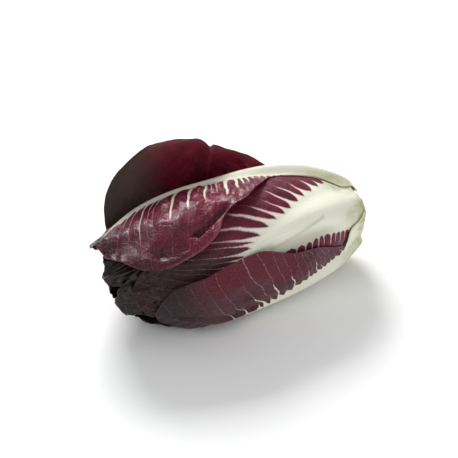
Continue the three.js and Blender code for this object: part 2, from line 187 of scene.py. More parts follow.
def vein_field(veins, lean, bend, along, away, beside):
    """For points of a half blade: phase, mm between veins, strength and run. Phase is whole on each vein.

    A vein leans towards the tip as it goes away from the rib. Just beside the rib it bends in along it.
    """
    places = np.array([v[0] for v in veins], float)
    low = np.full(along.shape, -80.0)
    high = np.full(along.shape, 260.0)
    for _ in range(HALVINGS):
        middle = (low + high) / 2
        past = middle + lean(middle) * away - bend(middle) * np.exp(-beside / 6) > along
        high = np.where(past, middle, high)
        low = np.where(past, low, middle)
    origin = (low + high) / 2
    count = len(places)
    step_first = places[1] - places[0]
    step_last = places[-1] - places[-2]
    phase = np.interp(origin, places, np.arange(count))
    phase = np.where(origin < places[0], (origin - places[0]) / step_first, phase)
    phase = np.where(origin > places[-1], count - 1 + (origin - places[-1]) / step_last, phase)
    between = np.clip(np.floor(phase).astype(int), 0, count - 2)
    space = (places[between + 1] - places[between]) / np.sqrt(1 + lean(origin) ** 2)
    nearest = np.round(phase).astype(int)
    inside = (nearest >= 0) & (nearest < count)
    index = np.clip(nearest, 0, count - 1)
    strength = np.where(inside, np.array([v[1] for v in veins])[index], 0.35)
    run = np.where(inside, np.array([v[2] for v in veins])[index], 10.0)
    return phase, space, strength, run


def rib_surface(one, along, angle):
    """Radius of a leaf's outer face at a place, without its blisters."""
    base = outline(along) - one["depth"](along)
    arc = np.radians(np.abs(angle - one["angle"](along))) * base
    rib_side = np.clip(arc / one["rib_width"](along), 0, 1)
    crown = RIB_EDGE + (one["rib_height"](along) - RIB_EDGE) * (1 - rib_side ** 2) ** 0.6
    return base + (GAP + crown) * smooth(1.0, one["rib_foot"], rib_side)


def leaf_skin(one, gx, gy, side):
    """Places and surface values of a leaf's skin.

    gx and gy are 0 to 1 over it, and side is 0 on its outside and 1 on its inside.
    """
    across = np.sin(math.pi * (gx - 0.5))
    row = gy
    along, nominal, reach, radius = leaf_place(one, across, row)
    middle_along, _, _, middle_radius = leaf_place(one, np.zeros_like(row), row)
    rib_half = np.degrees(one["rib_width"](middle_along) / middle_radius)
    # Beside its root end a leaf is all rib.
    stem_part = 1 - smooth(BLADE_FROM - 0.02, BLADE_FROM + 0.1, row)
    half = reach * (1 - stem_part) + np.maximum(rib_half, reach * (1 - stem_part)) * stem_part
    half = np.maximum(half, np.where(row < BLADE_FROM, rib_half, 0))
    half = np.maximum(half, np.where(across > 0, one["clasp_high"](nominal), 0))
    angle = one["angle"](nominal) + half * across
    arc = np.radians(np.abs(half * across)) * middle_radius
    rib_mm = np.radians(rib_half) * middle_radius
    away = arc - rib_mm
    margin = np.minimum(np.radians(half) * middle_radius - arc, (1 - row) * one["length"])
    is_low = across < 0
    sway = patchy(along, arc, 18, one["seed"]) + 0.25 * patchy(along, arc, 6, one["seed"] + 1)
    wiggle = one["wiggle"] * sway
    fields = []
    for half_side in ("low", "high"):
        white = one["white_low"] if half_side == "low" else one["white"]
        veins, lean, bend = (one[kind + half_side] for kind in ("veins_", "lean_", "bend_"))
        fields.append(vein_field(veins, lean, bend, along + wiggle, arc,
                                 np.maximum(arc - white(middle_along), 0)))
    phase, space, strength, run = (np.where(is_low, a, b) for a, b in zip(*fields))
    off_vein = np.abs(phase - np.round(phase)) * space
    past_white = arc - np.where(is_low, one["white_low"](middle_along), one["white"](middle_along))
    beside = np.maximum(past_white, 0)
    fade = np.clip(1 - beside / run, 0, 1)
    half_vein = one["vein"] * strength * (0.5 + 0.5 * fade) * smooth(0, 0.25, fade)
    half_vein = half_vein * (0.2 + 0.8 * smooth(one["fade"][0], one["fade"][1], along))
    rooty = smooth(one["fade"][0], one["fade"][1], along)
    tapers = np.where(is_low, one["finger_low"] or one["finger"], one["finger"])
    finger = (space * 0.5 + 0.5) * rooty * np.exp(-beside / tapers)
    half_white = np.where(past_white < 0, space * 0.5 + 0.5 - past_white, half_vein + finger)
    # Relief, in mm outwards.
    rib_side = np.clip(arc / np.maximum(rib_mm, 0.01), 0, 1)
    crown = RIB_EDGE + (one["rib_height"](middle_along) - RIB_EDGE) * (1 - rib_side ** 2) ** 0.6
    foot = smooth(1.0, one["rib_foot"], rib_side)
    rib = (GAP + crown) * foot * smooth(0.97, 0.9, row)
    between = np.clip(off_vein / np.maximum(space * 0.5, 0.1), 0, 1)
    bubble = np.sin(between * math.pi / 2) ** 2
    bubble = bubble * (0.7 + 0.3 * patchy(along, arc, 15, one["seed"] + 2))
    bubble = bubble * smooth(0, 5, away) * np.clip(space / 7, 0.35, 1.3)
    bubble = bubble * (0.25 + 0.75 * smooth(34, 14, away))
    ridge = np.exp(-(off_vein / 0.8) ** 2) * fade * strength * smooth(-1, 1, away) * smooth(0, 0.1, fade)
    soft = patchy(along, arc, 26, one["seed"] + 3) + 0.45 * patchy(along, arc, 11, one["seed"] + 5)
    soft = soft * smooth(0, 10, away)
    relief = one["blister"] * bubble + 0.35 * one["blister"] * ridge + 0.5 * one["blister"] * soft
    relief = relief * smooth(BLADE_FROM, BLADE_FROM + 0.12, row)
    if one["extra"]:
        relief = relief + one["extra"](along, angle, across, row)
    if one["rests_on"]:
        lying = rib_surface(LEAVES[one["rests_on"]], along, angle) + one["thick"] + 0.2
        share = one["rests_where"](along, angle, across)
        relief = relief * (1 - share) + (lying - radius) * share
    thin = one["thick"] * (1 - 0.4 * smooth(0.75, 1, np.maximum(np.abs(across), row)))
    base = 1 - smooth(BLADE_FROM - 0.03, BLADE_FROM + 0.02, row)
    wall = thin * (1 - base) + RIB_SEAT * base
    low_edge = one["lowest"] - one["ramp"] * across
    floor_here = low_edge * (1 - foot) + one["rib_lowest"] * foot
    outer = head_point(along, angle, radius + relief + rib, floor_here)
    floor_inner = np.where(rib_side < 0.98, one["rib_lowest"] + RIB_EDGE * base, low_edge)
    raised = low_edge * (1 - base) + (one["rib_lowest"] + RIB_EDGE) * base
    floor_inner = np.maximum(floor_inner, raised) + wall * (1 - base)
    inner = head_point(along, angle, radius + relief - wall, floor_inner)
    points = np.where((side > 0.5)[:, None], inner, outer)
    zone = one["zone"](along, angle, margin, across) if one["zone"] else np.zeros_like(along)
    faint = one["faint"](along, angle, np.sign(across) * arc) if one["faint"] else np.zeros_like(along)
    place = np.stack([np.sign(across) * arc / 10, along / 10, margin / 10], axis=-1)
    vein = np.stack([phase, space / 10, half_white / 10], axis=-1)
    return points, place, vein, zone, faint


# Folds that only one leaf has

def bump(along, angle, at, size):
    """Round swelling of height 1 at a place, size in mm along and round the head."""
    arc = np.radians(angle - at[1]) * HEAD_RADIUS
    return np.exp(-((along - at[0]) / size[0]) ** 2 - (arc / size[1]) ** 2)


def near_line(along, angle, points, width, below=None):
    """Ridge of height 1 along a line of (along, angle) points. Width is in mm, and below is its width at
    lower angles."""
    u, v = along, np.radians(angle) * HEAD_RADIUS
    nearest = np.full(np.shape(along), 1e9)
    under = np.interp(along, [p[0] for p in points], [p[1] for p in points]) > angle
    width = np.where(under, width if below is None else below, width)
    for (a0, t0), (a1, t1) in zip(points, points[1:]):
        u0, v0, u1, v1 = a0, math.radians(t0) * HEAD_RADIUS, a1, math.radians(t1) * HEAD_RADIUS
        length = (u1 - u0) ** 2 + (v1 - v0) ** 2
        share = np.clip(((u - u0) * (u1 - u0) + (v - v0) * (v1 - v0)) / length, 0, 1)
        nearest = np.minimum(nearest, (u - u0 - share * (u1 - u0)) ** 2 + (v - v0 - share * (v1 - v0)) ** 2)
    return np.exp(-nearest / width ** 2)


# The crease of the pocket fold in the top leaf's margin, as (along, angle).
POCKET_LINE = [(116, 72), (125, 67), (133, 63), (139, 60)]


def top_leaf_folds(along, angle, across, row):
    lifted = 1.2 * smooth(-0.55, -1, across) * smooth(75, 95, along) * smooth(185, 150, along)
    lifted = lifted + 1.8 * smooth(-0.6, -1, across) * smooth(68, 84, along) * smooth(135, 105, along)
    pocket = -4.6 * near_line(along, angle, POCKET_LINE, 3.6, 1.3)
    pocket = pocket - 1.6 * bump(along, angle, (141, 59), (4, 4))
    lobe = 2.4 * bump(along, angle, (131, 55), (10, 5))
    dent = -3.4 * bump(along, angle, (165, 58), (7, 6)) + 1.5 * near_line(
        along, angle, [(150, 48), (158, 45), (168, 48), (177, 57)], 3.0)
    tip = 1.0 * bump(along, angle, (186, 112), (8, 8)) - 1.4 * bump(along, angle, (188, 92), (7, 7))
    return lifted + lobe + pocket + dent + tip


def top_leaf_rests(along, angle, across):
    return smooth(-0.2, -0.85, across) * smooth(88, 62, along)


def front_leaf_rests(along, angle, across):
    return smooth(0.25, 0.6, across) * smooth(75, 50, along)


def front_leaf_folds(along, angle, across, row):
    edge = 0.9 * smooth(0.6, 1, across) * smooth(60, 90, along)
    swell = 1.0 * bump(along, angle, (118, 10), (22, 9)) - 0.8 * bump(along, angle, (128, -8), (18, 6))
    return edge + swell - 0.7 * bump(along, angle, (150, -2), (8, 6))


def back_leaf_folds(along, angle, across, row):
    crease = -2.4 * np.exp(-((along - 100 + 0.05 * (angle - 130)) / 2.2) ** 2) * smooth(-0.35, -0.8, across)
    swell = 1.6 * np.exp(-((along - 107 + 0.05 * (angle - 130)) / 5) ** 2) * smooth(-0.35, -0.9, across)
    return crease + swell


def middle_leaf_folds(along, angle, across, row):
    keel = 0.8 * near_line(along, angle, [(54, 39), (72, 32), (90, 27)], 2.0)
    fallen = -1.6 * smooth(37, 24, angle) * smooth(38, 52, along) * smooth(110, 90, along)
    return keel + fallen + tip_crumple(31, 1.6)(along, angle, across, row)


def tip_crumple(seed, size):
    """Pleats that run along a leaf and gather towards its tip."""
    def folds(along, angle, across, row):
        gather = smooth(0.72, 1, row)
        pleats = patchy(along * 0.35, np.radians(angle) * 40, 9, seed)
        small = patchy(along, np.radians(angle) * 40, 6, seed + 1)
        return size * gather * pleats + 0.4 * size * gather * small
    return folds


# Where a leaf's colour changes, and where painted shade darkens it

# Painted shade: darker in the pocket fold's crease, in the round dent, along the low margin from 140 mm on,
# and towards the tip.
def top_leaf_painted_shade(along, angle, margin, across):
    in_pocket = 0.9 * near_line(along, angle, POCKET_LINE, 2.4, 1.0)
    shaded = np.maximum(in_pocket, 0.8 * bump(along, angle, (165, 58), (6, 5)))
    shaded = np.maximum(shaded, 0.7 * smooth(22, 4, margin) * smooth(140, 155, along) * (across < 0))
    return np.maximum(shaded, smooth(165, 200, along))


# Painted shade: dark brown grey over the low side of the middle leaf's tip.
def middle_leaf_tip_shade(along, angle, margin, across):
    return smooth(45, 25, angle - 0.18 * (along - 120)) * smooth(108, 125, along)


def middle_leaf_faint(along, angle, arc):
    """Painted shade on the white's low flank below the keel and along the keel's own line, partly the flesh's
    own greyer tone.
    """
    below = smooth(-4, -14, arc) * smooth(30, 55, along) * smooth(115, 95, along)
    return np.maximum(0.75 * below, 0.55 * near_line(along, angle, [(50, 41), (72, 32), (94, 26)], 1.1))


def front_leaf_zone(along, angle, margin, across):
    upper = smooth(25, 12, margin + 3 * patchy(along, angle, 20, 3)) * smooth(58, 80, along) * (across > 0)
    return upper * smooth(160, 135, along)


def back_leaf_zone(along, angle, margin, across):
    return smooth(128, 160, along + 0.25 * margin)


# The leaves

LEAVES = {
    "top_leaf": leaf(
        length=198.5, angle=[[0, 122], [90, 124], [130, 131], [155, 134], [175, 131], [203, 123]], depth=OVER,
        rests_on="middle_leaf", rests_where=top_leaf_rests, rib_foot=0.35,
        seed=11, blister=1.3, vein=1.0, finger=1.8, wiggle=0.45, fade=(195, 130), zone=top_leaf_painted_shade,
        white=[[0, 30], [20, 17], [35, 14], [60, 11], [80, 9.3], [100, 7.6], [120, 5.6], [140, 4], [160, 2.4],
               [180, 1.2], [203, 0.3]],
        flare_low=[[0, 0], [125, 0], [150, -2.5], [185, -3]],
        flare=[[0, 0], [100, 0], [130, 2.6], [150, 4.2], [175, 5.2], [203, 6]],
        flare_high=[[0, 0], [140, 0], [170, 2], [203, 3]],
        rib_width=[[0, 6.5], [8, 12], [16, 16], [26, 16.5], [40, 13], [60, 10.5], [80, 9.5], [100, 8.5],
                   [120, 6.5], [140, 4.4], [165, 2.2], [188, 0.6]],
        bend_low=[[95, 0], [120, 4], [140, 7], [190, 9]],
        low=[[0, 30], [20, 29], [30, 24], [42, 18.5], [60, 16], [78, 18], [90, 30], [100, 39], [114, 51],
             [132, 60.5], [141, 67.5], [148, 77], [155, 82.5], [164, 86], [183, 86], [193, 84], [203, 78]],
        high=[[0, 28], [40, 29], [72, 40], [100, 53], [140, 57], [170, 60], [203, 60]],
        lean_low=[[0, 0.25], [70, 0.25], [100, 0.42], [130, 0.56], [160, 0.62], [185, 1.0]],
        lean_high=[[0, 0.3], [100, 0.45], [160, 0.7]],
        veins_low=TOP_VEINS, veins_high=even_veins(30, 190, 12, 0.9, 30, 5), extra=top_leaf_folds),
    "middle_leaf": leaf(
        start=9, length=194, slant=-0.08, clasp_high=[[9, 60], [20, 72], [32, 80], [38, 0], [200, 0]],
        depth=UNDER, rib_height=UNDER_RIB, seed=23, blister=0.55, vein=0.85,
        finger=3.2, finger_low=0.8,
        wiggle=0.6, zone=middle_leaf_tip_shade, faint=middle_leaf_faint, fade=(138, 100), rib_foot=0.15,
        white=[[0, 34], [12, 29], [30, 23.5], [40, 20], [51, 16.5], [60, 13.5], [74, 9.5], [85, 7.5],
               [92, 5.5], [100, 3.6], [106, 2], [116, 0], [130, -1], [194, -1]],
        white_low=[[0, 30], [10, 22], [22, 14.5], [42, 13], [54, 13.5], [66, 15], [85, 12], [100, 6],
                   [112, 2.2], [122, 0], [130, -1], [194, -1]],
        angle=[[0, 41], [60, 42], [86, 38], [111, 31], [135, 21], [165, 10], [200, 4]],
        rib_width=[[0, 8], [8, 13], [20, 17.5], [40, 17.5], [60, 14], [85, 8.5], [106, 4.5], [140, 2.8],
                   [194, 1.2]],
        low=[[0, 38], [20, 44], [40, 50], [70, 58], [100, 62], [140, 62], [175, 57], [194, 46]],
        high=[[0, 60], [20, 72], [40, 80], [70, 80], [90, 75], [100, 70], [140, 70], [175, 62], [194, 50]],
        lean_low=[[0, 0.1], [70, 0.2], [120, 0.8]],
        lean_high=[[30, 0.45], [50, 0.75], [70, 1.0], [95, 1.9], [120, 2.1], [150, 1.6]],
        veins_low=FAN_VEINS_LOW, veins_high=FAN_VEINS, extra=middle_leaf_folds),
    "front_leaf": leaf(
        start=10, length=177, rests_on="middle_leaf", rests_where=front_leaf_rests,
        clasp_high=[[10, 78], [12, 76], [18, 66], [27, 57], [30, 43], [32, 28], [36, 0], [200, 0]],
        rib_width=[[0, 5], [10, 8], [20, 12.5], [40, 15], [60, 12.5], [80, 10], [100, 8], [120, 6],
                   [140, 3.8], [160, 1.6], [180, 0.6]],
        angle=[[0, -42], [120, -44], [150, -26], [177, -8]], depth=OVER, seed=37,
        blister=0.5, vein=0.6, finger=0.8, wiggle=0.8, zone=front_leaf_zone, fade=(140, 100),
        white=[[0, 45], [24, 40], [28, 22], [32, 13.5], [40, 13.5], [60, 11], [80, 8], [100, 4.5], [115, 1],
               [125, -1], [177, -1]],
        low=[[0, 26], [40, 33], [60, 38], [90, 46], [120, 46], [146, 52], [165, 38], [177, 30]],
        high=[[0, 28], [40, 41], [63, 55], [90, 63], [122, 74], [146, 58], [165, 40], [177, 30]],
        flare=[[0, 0], [100, 0.5], [140, 3.4], [160, 3.6], [177, 2]],
        lean_low=[[0, 0.4], [200, 0.8]],
        lean_high=[[30, 0.35], [75, 0.36], [85, 0.5], [92, 0.8], [99, 0.45], [108, 0.8], [140, 0.9]],
        veins_low=even_veins(24, 170, 10, 0.7, 24, 7), veins_high=FRONT_VEINS, extra=front_leaf_folds),
    "back_leaf": leaf(
        length=189, angle=[[0, 190], [178, 184]], depth=OVER, round=0.24, slant=0.16, wave=0.8, waves=2.5,
        phase=2, seed=41, blister=0.7, vein=0.4, finger=1.2, zone=back_leaf_zone, fade=(150, 90),
        low=[[0, 26], [40, 28], [60, 34], [80, 44], [100, 54], [120, 62], [150, 67], [178, 62]],
        high=[[0, 24], [20, 25], [60, 38], [120, 46], [150, 46], [178, 36]],
        flare=[[0, 0], [40, 1], [100, 5], [178, 12]],
        flare_low=[[0, 0], [40, 0], [60, 3.5], [80, 8.5], [110, 13], [140, 20.5], [165, 26.5], [187, 29]],
        lean_low=[[0, 0.9], [200, 1.0]], lean_high=[[0, 0.6], [200, 0.9]],
        veins_low=even_veins(20, 170, 9, 0.9, 30, 13), veins_high=even_veins(20, 170, 10, 0.9, 26, 17),
        extra=back_leaf_folds),
    "under_leaf": leaf(
        length=181, angle=[[0, 253], [178, 253]], depth=UNDER, seed=53, blister=0.4, lowest=FLOOR + 2.4,
        flare_high=[[0, 0], [140, 0], [165, 3], [181, 5.5]],
        rib_width=[[x, 0.88 * w] for x, w in RIB_WIDTH],
        low=[[0, 28], [40, 35], [70, 50], [100, 58], [140, 58], [178, 46]],
        high=[[0, 28], [40, 35], [70, 50], [100, 58], [140, 58], [178, 46]],
        veins_low=even_veins(20, 170, 11, 0.9, 26, 19), veins_high=even_veins(20, 170, 11, 0.9, 26, 23),
        extra=tip_crumple(59, 1.4)),
}
INNER_REACH = [[0, 20], [40, 45], [80, 56], [140, 58], [175, 54], [205, 44]]
for number, (inner_length, inner_slant) in enumerate([(207, 0.07), (198, 0), (188, 0), (190, 0), (191, 0)]):
    turned = 80 - 72 * number
    LEAVES[f"inner_leaf_{number + 1}"] = leaf(
        length=inner_length, start=14, ramp=1.7, round=0.12, lowest=FLOOR + 6.2, rib_lowest=FLOOR + 3.8,
        slant=inner_slant,
        angle=[[0, turned], [200, turned]], depth=INSIDE, low=INNER_REACH, high=INNER_REACH,
        rib_height=INSIDE_RIB, rib_width=[[0, 6], [60, 6], [120, 3.6], [185, 0.7]], seed=61 + 9 * number,
        blister=0.35, vein=0.5, veins_low=even_veins(24, 190, 12, 0.8, 20, 71 + number),
        veins_high=even_veins(24, 190, 12, 0.8, 20, 81 + number), extra=tip_crumple(91 + number, 1.5))


def make_leaf_mesh(name, one, rows, columns):
    """A leaf's closed skin: a flat grid, thickened, then bent to the leaf's form."""
    bm = bmesh.new()
    bmesh.ops.create_grid(bm, x_segments=columns, y_segments=rows, size=0.5)
    bmesh.ops.translate(bm, verts=bm.verts[:], vec=(0.5, 0.5, 0))
    pushed = bmesh.ops.extrude_face_region(bm, geom=bm.faces[:])
    inside = [v for v in pushed["geom"] if isinstance(v, bmesh.types.BMVert)]
    bmesh.ops.translate(bm, verts=inside, vec=(0, 0, 1))
    bmesh.ops.recalc_face_normals(bm, faces=bm.faces[:])
    mesh = bpy.data.meshes.new(name)
    bm.to_mesh(mesh)
    bm.free()
    flat = np.empty(len(mesh.vertices) * 3)
    mesh.vertices.foreach_get("co", flat)
    gx, gy, side = flat.reshape(-1, 3).T
    points, place, vein, zone, faint = leaf_skin(one, gx, gy, side)
    mesh.vertices.foreach_set("co", points.ravel())
    for label, values in (("leaf_place", place), ("leaf_vein", vein)):
        layer = mesh.attributes.new(label, "FLOAT_VECTOR", "POINT")
        layer.data.foreach_set("vector", values.astype(np.float32).ravel())
    for label, values in (("inner_face", side), ("leaf_zone", zone), ("faint_flesh", faint)):
        layer = mesh.attributes.new(label, "FLOAT", "POINT")
        layer.data.foreach_set("value", values.astype(np.float32))
    return mesh


def face_outwards(mesh):
    bm = bmesh.new()
    bm.from_mesh(mesh)
    if bm.calc_volume(signed=True) < 0:
        bmesh.ops.reverse_faces(bm, faces=bm.faces[:])
    for face in bm.faces:
        face.smooth = True
    bm.to_mesh(mesh)
    bm.free()


def show(name, mesh, material, slot, *nodes):
    """Put a finished mesh in the scene, riding on the head, in place of its solids."""
    face_outwards(mesh)
    mesh.materials.append(material)
    piece = bpy.data.objects.new(name, mesh)
    bpy.context.scene.collection.objects.link(piece)
    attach(piece, "root")
    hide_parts(*nodes)
    return piece


# Materials

def tint(code):
    """An sRGB hex colour as linear RGBA."""
    parts = [int(code[i:i + 2], 16) / 255 for i in (0, 2, 4)]
    return tuple(c / 12.92 if c <= 0.04045 else ((c + 0.055) / 1.055) ** 2.4 for c in parts) + (1.0,)


def put(tree, kind, inputs=None, **settings):
    """Add a shader node with its settings; an input that is a socket is linked, and any other is set."""
    node = tree.nodes.new(kind)
    for key, value in settings.items():
        setattr(node, key, value)
    for key, value in (inputs or {}).items():
        if isinstance(value, bpy.types.NodeSocket):
            tree.links.new(value, node.inputs[key])
        else:
            node.inputs[key].default_value = value
    return node


def blend(tree, share, first, second):
    """The first colour, going over to the second as share goes to 1."""
    return put(tree, "ShaderNodeMix", {0: share, 6: first, 7: second}, data_type="RGBA").outputs[2]


def reckon(tree, operation, *values):
    """One step of arithmetic on values."""
    return put(tree, "ShaderNodeMath", dict(enumerate(values)), operation=operation).outputs[0]


def ramp(tree, factor, stops):
    """A straight colour ramp with its stops given as (position, colour)."""
    node = put(tree, "ShaderNodeValToRGB", {"Fac": factor})
    node.color_ramp.interpolation = "LINEAR"
    elements = node.color_ramp.elements
    while len(elements) < len(stops):
        elements.new(0.5)
    for element, (position, colour) in zip(elements, stops):
        element.position = position
        element.color = colour
    return node.outputs["Color"]


def leaf_tissue(name, full, deep, tip, tip_from, bloom_and_sheen, bloom_and_sheen_share, gloss, zone, zone_share=1.0,
                flesh="E6E6D6", fringe="C98294", stain="A6A678", streak=0.0, bloom_and_sheen_from=(0, 1), soft=0.03,
                depth=0.07, rim="A06C74", rim_share=0.35, net_share=0.1, sheen=0.5):
    """Radicchio leaf: a thin waxy skin coloured by red pigment, and white veins with none.

    The pigment stops short of the veins, so they show white with a pink fringe. It darkens towards the tip,
    and a thin wax bloom lies over it, which on the fan ribbed leaf is partly painted sheen.
    """
    material = bpy.data.materials.new(name)
    material.use_nodes = True
    tree = material.node_tree
    shader = tree.nodes["Principled BSDF"]
    where = put(tree, "ShaderNodeTexCoord").outputs["Object"]
    on_leaf = put(tree, "ShaderNodeAttribute", attribute_name="leaf_place").outputs["Vector"]
    place = put(tree, "ShaderNodeSeparateXYZ", {0: on_leaf})
    on_vein = put(tree, "ShaderNodeAttribute", attribute_name="leaf_vein").outputs["Vector"]
    vein = put(tree, "ShaderNodeSeparateXYZ", {0: on_vein})
    in_zone = put(tree, "ShaderNodeAttribute", attribute_name="leaf_zone").outputs["Fac"]
    faint = put(tree, "ShaderNodeAttribute", attribute_name="faint_flesh").outputs["Fac"]
    # Distance to the nearest vein, in cm, from the phase between veins.
    turned = reckon(tree, "ADD", vein.outputs["X"], 0.5)
    part = reckon(tree, "FRACT", turned)
    centred = reckon(tree, "SUBTRACT", part, 0.5)
    apart = reckon(tree, "ABSOLUTE", centred)
    off_vein = reckon(tree, "MULTIPLY", apart, vein.outputs["Y"])
    # The white has a ragged edge, off by up to 0.3 mm.
    ragged = put(tree, "ShaderNodeTexNoise", {"Vector": where, "Scale": 800.0, "Detail": 3.0}).outputs["Fac"]
    ragged = put(tree, "ShaderNodeMapRange", {"Value": ragged, "To Min": -0.03, "To Max": 0.03}).outputs[0]
    room = reckon(tree, "SUBTRACT", vein.outputs["Z"], off_vein)
    room = reckon(tree, "ADD", room, ragged)
    pale = put(tree, "ShaderNodeMapRange", {"Value": room, "From Min": -0.02, "From Max": soft},
               interpolation_type="SMOOTHSTEP").outputs[0]
    core = put(tree, "ShaderNodeMapRange", {"Value": room, "From Min": 0.0, "From Max": depth},
               interpolation_type="SMOOTHSTEP").outputs[0]
    # Pigment: cloudy from deep to full red, darker towards the tip.
    cloud = put(tree, "ShaderNodeTexNoise", {"Vector": where, "Scale": 70.0, "Detail": 5.0,
                "Roughness": 0.6}).outputs["Fac"]
    pigment = ramp(tree, cloud, [(0.34, tint(deep)), (0.6, tint(full))])
    # Streaks run with the leaf, about 1.1 mm wide and 11 mm long.
    stretched = put(tree, "ShaderNodeMapping", {"Vector": on_leaf, "Scale": (9.0, 0.9, 0.0)}).outputs[0]
    streaks = put(tree, "ShaderNodeTexNoise", {"Vector": stretched, "Scale": 1.0,
                  "Detail": 3.0}).outputs["Fac"]
    lined = put(tree, "ShaderNodeMapRange", {"Value": streaks, "From Min": 0.5, "From Max": 0.75,
                "To Max": streak}, interpolation_type="SMOOTHSTEP").outputs[0]
    pigment = blend(tree, lined, pigment, tint(bloom_and_sheen))
    # Wax bloom in cloudy patches, and on the fan ribbed leaf partly painted sheen, coming in along the leaf.
    film_noise = put(tree, "ShaderNodeTexNoise", {"Vector": where, "Scale": 36.0, "Detail": 5.0,
                     "Roughness": 0.6}).outputs["Fac"]
    bloom_and_sheen_amount = put(tree, "ShaderNodeMapRange", {"Value": film_noise, "From Min": 0.35, "From Max": 0.65,
               "To Max": bloom_and_sheen_share}).outputs[0]
    bloom_and_sheen_ramp = put(tree, "ShaderNodeMapRange", {"Value": place.outputs["Y"], "From Min": bloom_and_sheen_from[0] / 10,
               "From Max": bloom_and_sheen_from[1] / 10}, interpolation_type="SMOOTHSTEP").outputs[0]
    bloom_and_sheen_amount = reckon(tree, "MULTIPLY", bloom_and_sheen_amount, bloom_and_sheen_ramp)
    pigment = blend(tree, bloom_and_sheen_amount, pigment, tint(bloom_and_sheen))
    drift = reckon(tree, "MULTIPLY_ADD", cloud, 3.0, place.outputs["Y"])
    tipward = put(tree, "ShaderNodeMapRange", {"Value": drift, "From Min": tip_from[0] / 10 + 1.5,
               "From Max": tip_from[1] / 10 + 1.5}, interpolation_type="SMOOTHSTEP").outputs[0]
    pigment = blend(tree, tipward, pigment, tint(tip))
    # Zone colour: painted shade on the top and middle leaves, a deeper red along the front leaf's upper
    # margin, greyer towards the back leaf's tip.
    zoned = reckon(tree, "MULTIPLY", in_zone, zone_share)
    pigment = blend(tree, zoned, pigment, tint(zone))
    # Net of the smallest veins, about 1.6 mm apart.
    net = put(tree, "ShaderNodeTexVoronoi", {"Vector": where, "Scale": 620.0}, feature="DISTANCE_TO_EDGE")
    net_line = put(tree, "ShaderNodeMapRange", {"Value": net.outputs["Distance"], "From Max": 0.1,
                   "To Min": net_share, "To Max": 0.0}).outputs[0]
    pigment = blend(tree, net_line, pigment, tint(fringe))
    # White flesh: yellow green towards the root, and a little greyer along its streaks.
    rootward = put(tree, "ShaderNodeMapRange", {"Value": place.outputs["Y"], "From Min": 4.8,
                   "From Max": 1.2}, interpolation_type="SMOOTHSTEP").outputs[0]
    blotch = put(tree, "ShaderNodeMapRange", {"Value": film_noise, "From Min": 0.4, "From Max": 0.56,
                 "To Min": 0.2}).outputs[0]
    rootward = reckon(tree, "MULTIPLY", rootward, blotch)
    white = blend(tree, rootward, tint(flesh), tint(stain))
    greyer = put(tree, "ShaderNodeMapRange", {"Value": streaks, "From Min": 0.45, "From Max": 0.8,
                 "To Max": 0.35}).outputs[0]
    white = blend(tree, greyer, white, tint("CFD2B4"))
    # Painted shade: the white goes grey beige on the low flank below the keel and along the keel's line,
    # partly the flesh's own greyer tone.
    white = blend(tree, faint, white, tint("A8A48E"))
    white = blend(tree, core, tint(fringe), white)
    # Towards the tip the veins go brown with the blade.
    browned = reckon(tree, "MULTIPLY", tipward, 0.65)
    white = blend(tree, browned, white, tint(bloom_and_sheen))
    colour = blend(tree, pale, pigment, white)
    # Over the margin's last 0.8 mm the colour goes over to the rim colour.
    rim_near = put(tree, "ShaderNodeMapRange", {"Value": place.outputs["Z"], "From Min": 0.02,
                   "From Max": 0.08, "To Min": rim_share, "To Max": 0.0}).outputs[0]
    colour = blend(tree, rim_near, colour, tint(rim))
    tree.links.new(colour, shader.inputs["Base Color"])
    # The skin shines where it is smooth; wax and small wrinkles break the shine.
    dull = put(tree, "ShaderNodeTexNoise", {"Vector": where, "Scale": 260.0, "Detail": 4.0}).outputs["Fac"]
    shine = put(tree, "ShaderNodeMapRange", {"Value": dull, "From Min": 0.35, "From Max": 0.65,
                "To Min": gloss[0], "To Max": gloss[1]}).outputs[0]
    tree.links.new(shine, shader.inputs["Roughness"])
    shader.inputs["IOR"].default_value = 1.42
    shader.inputs["Specular IOR Level"].default_value = sheen
    shader.inputs["Subsurface Weight"].default_value = 0.05
    shader.inputs["Subsurface Radius"].default_value = (1.0, 0.5, 0.4)
    shader.inputs["Subsurface Scale"].default_value = 0.001
    # Relief: wrinkles 4 mm wide and finer, raised veins, faint streaks and the valleys of the fine net.
    height = reckon(tree, "MULTIPLY", pale, 0.5)
    rough = reckon(tree, "MULTIPLY", dull, 0.9)
    still = put(tree, "ShaderNodeMix", {0: core, 2: rough, 3: 0.0}).outputs[0]
    height = reckon(tree, "ADD", height, still)
    height = reckon(tree, "MULTIPLY_ADD", net_line, -2.5, height)
    height = reckon(tree, "MULTIPLY_ADD", streaks, 0.5, height)
    relief = put(tree, "ShaderNodeBump", {"Height": height, "Strength": 0.6,
                 "Distance": 0.0006}).outputs["Normal"]
    tree.links.new(relief, shader.inputs["Normal"])
    return material


# The zone colours 2C0A18 of the top leaf and 2E1C1C of the middle leaf are painted shade.
glossy_leaf = leaf_tissue("glossy burgundy leaf", "6A0A26", "44061C", "4A2430", (150, 200), "7A4452", 0.1,
                          (0.15, 0.28), "2C0A18", 0.9, flesh="D8D4C4", rim="96606A", rim_share=0.3,
                          depth=0.03, sheen=0.3)
